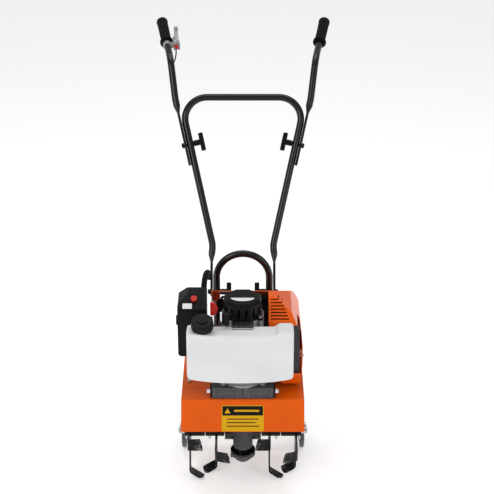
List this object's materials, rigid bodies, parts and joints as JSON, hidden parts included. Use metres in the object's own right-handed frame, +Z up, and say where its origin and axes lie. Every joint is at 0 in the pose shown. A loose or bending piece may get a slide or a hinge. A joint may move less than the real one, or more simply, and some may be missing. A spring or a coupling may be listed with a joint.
{
  "type": "tiller",
  "caption": "Front-tine mini tiller: two-stroke engine over a worm gearbox, L-bladed tine stars, sheet deck, carry hoop and folding handlebars.",
  "frame": {"origin": "on the ground, at the centre of the machine's footprint", "axes": "+Z up, the machine drives towards -Y, the operator stands at +Y, +X is the muffler side"},
  "size_m": [0.4972, 0.8711, 1.0699],
  "materials": {
    "orange_paint": "gloss powder coat",
    "black_paint": "satin powder coat",
    "cast_grey": "sand-blasted casting",
    "machined_steel": "turned",
    "zinc_steel": "bright zinc plate",
    "tine_steel": "black dip, worn tips",
    "tank_plastic": "natural blow-moulded",
    "black_plastic": "fine texture",
    "orange_plastic": "smooth",
    "red_plastic": "smooth",
    "rubber": "moulded",
    "muffler_steel": "heat-stained",
    "shield_grey": "satin",
    "grey_wheel": "satin",
    "filter_foam": "open foam",
    "bronze": "hobbed bronze"
  },
  "bodies": {
    "chassis": {"gearbox_housing": "black_paint", "gearbox_bottom_cap": "cast_grey", "ball_bearings": "machined_steel", "axle_seals": "rubber", "fasteners": "zinc_steel", "deck_top": "orange_paint", "front_guard": "orange_paint", "engine_base": "cast_grey", "clutch_housing": "cast_grey", "crankcase": "cast_grey", "cylinder": "cast_grey", "spark_plug": "zinc_steel", "plug_lead": "rubber", "ignition_coil": "black_plastic", "fan_housing": "cast_grey", "starter_cover": "black_plastic", "fuel_tank": "tank_plastic", "tank_bracket": "zinc_steel", "filter_base": "black_plastic", "filter_cover": "black_plastic", "filter_element": "filter_foam", "carburettor": "cast_grey", "engine_shroud": "orange_plastic", "muffler": "muffler_steel", "heat_shield": "shield_grey", "carry_hoop": "black_paint", "cable_sleeve": "rubber", "wheel_bracket": "black_paint", "wheel_axle": "zinc_steel"},
    "tine_shaft": {"tine_axle": "machined_steel", "worm_wheel": "bronze", "tines_left": "tine_steel", "tines_right": "tine_steel", "tine_pins": "zinc_steel"},
    "worm": {"worm_shaft": "machined_steel", "clutch_drum": "machined_steel"},
    "crank": {"crankshaft": "machined_steel", "flywheel": "cast_grey", "clutch_shoes": "machined_steel"},
    "pulley": {"starter_pulley": "black_plastic"},
    "pull_handle": {"starter_handle": "black_plastic"},
    "filler_cap": {"fuel_cap": "black_plastic"},
    "primer": {"primer_button": "red_plastic"},
    "lower_handle": {"handle_frame": "black_paint"},
    "left_bar": {"upper_bar_left": "black_paint", "grip_left": "rubber", "throttle_housing": "zinc_steel", "throttle_cable": "rubber"},
    "right_bar": {"upper_bar_right": "black_paint", "grip_right": "rubber"},
    "throttle": {"throttle_lever": "zinc_steel"},
    "stop": {"stop_button": "red_plastic"},
    "left_fold_knob": {"upper_knob_left": "black_plastic"},
    "right_fold_knob": {"upper_knob_right": "black_plastic"},
    "left_pivot_knob": {"lower_knob_left": "black_plastic"},
    "right_pivot_knob": {"lower_knob_right": "black_plastic"},
    "left_wheel": {"wheel_left": "grey_wheel"},
    "right_wheel": {"wheel_right": "grey_wheel"},
    "stake": {"drag_stake": "zinc_steel"},
    "stake_screw": {"stake_knob": "black_plastic"}
  },
  "joints": [
    {"name": "tine_spin", "type": "hinge", "parent": "chassis", "child": "tine_shaft", "pos_m": [0, -0.2815, 0.13], "axis": [1, 0, 0], "continuous": true},
    {"name": "worm_spin", "type": "hinge", "parent": "chassis", "child": "worm", "pos_m": [0, -0.3135, 0.13], "axis": [0, 0, 1], "continuous": true},
    {"name": "crank_spin", "type": "hinge", "parent": "chassis", "child": "crank", "pos_m": [0, -0.3135, 0.4], "axis": [0, 0, 1], "continuous": true},
    {"name": "starter_pull", "type": "slide", "parent": "chassis", "child": "pull_handle", "axis": [-0.5, -0.866, 0], "range_m": [0, 0.6], "stiffness_N_per_m": 10},
    {"name": "pulley_spin", "type": "hinge", "parent": "chassis", "child": "pulley", "pos_m": [0, -0.3135, 0.52], "axis": [0, 0, 1], "range_deg": [0, 1230]},
    {"name": "fuel_cap_turn", "type": "hinge", "parent": "chassis", "child": "filler_cap", "pos_m": [-0.1, -0.4015, 0.506], "axis": [0, -0.309, 0.9511], "range_deg": [0, 300]},
    {"name": "primer_push", "type": "slide", "parent": "chassis", "child": "primer", "axis": [0, 0.5087, -0.8609], "range_m": [0, 0.003], "stiffness_N_per_m": 300},
    {"name": "handle_tilt", "type": "hinge", "parent": "chassis", "child": "lower_handle", "pos_m": [0, -0.0865, 0.447], "axis": [1, 0, 0], "range_deg": [-55, 20]},
    {"name": "left_bar_fold", "type": "hinge", "parent": "lower_handle", "child": "left_bar", "pos_m": [-0.14448, 0.11575, 0.79731], "axis": [0.9759, 0.1091, 0.1889], "range_deg": [0, 150]},
    {"name": "right_bar_fold", "type": "hinge", "parent": "lower_handle", "child": "right_bar", "pos_m": [0.14448, 0.11575, 0.79731], "axis": [0.9759, -0.1091, -0.1889], "range_deg": [0, 150]},
    {"name": "throttle_squeeze", "type": "hinge", "parent": "left_bar", "child": "throttle", "pos_m": [-0.18797, 0.30764, 1.04196], "axis": [0, -0.2588, 0.9659], "range_deg": [0, 45], "stiffness_Nm_per_rad": 0.05},
    {"name": "stop_push", "type": "slide", "parent": "left_bar", "child": "stop", "axis": [-0.162, 0.9532, 0.2554], "range_m": [0, 0.003], "stiffness_N_per_m": 300},
    {"name": "left_fold_knob_turn", "type": "hinge", "parent": "lower_handle", "child": "left_fold_knob", "pos_m": [-0.14448, 0.11575, 0.79731], "axis": [0.9759, 0.1091, 0.1889], "continuous": true},
    {"name": "right_fold_knob_turn", "type": "hinge", "parent": "lower_handle", "child": "right_fold_knob", "pos_m": [0.14448, 0.11575, 0.79731], "axis": [0.9759, -0.1091, -0.1889], "continuous": true},
    {"name": "left_pivot_knob_turn", "type": "hinge", "parent": "chassis", "child": "left_pivot_knob", "pos_m": [-0.08, -0.0865, 0.447], "axis": [1, 0, 0], "continuous": true},
    {"name": "right_pivot_knob_turn", "type": "hinge", "parent": "chassis", "child": "right_pivot_knob", "pos_m": [0.08, -0.0865, 0.447], "axis": [1, 0, 0], "continuous": true},
    {"name": "left_wheel_spin", "type": "hinge", "parent": "chassis", "child": "left_wheel", "pos_m": [-0.163, -0.1515, 0.06], "axis": [1, 0, 0], "continuous": true},
    {"name": "right_wheel_spin", "type": "hinge", "parent": "chassis", "child": "right_wheel", "pos_m": [0.163, -0.1515, 0.06], "axis": [1, 0, 0], "continuous": true},
    {"name": "stake_slide", "type": "slide", "parent": "chassis", "child": "stake", "axis": [0, 0, 1], "range_m": [-0.012, 0.06]},
    {"name": "stake_knob_turn", "type": "hinge", "parent": "chassis", "child": "stake_screw", "pos_m": [0, -0.1055, 0.281], "axis": [0, 1, 0], "continuous": true}
  ],
  "couplings": [
    {"joint": "worm_spin", "follows": "tine_spin", "ratio": 22},
    {"joint": "pulley_spin", "follows": "starter_pull", "rad_per_m": 35}
  ]
}
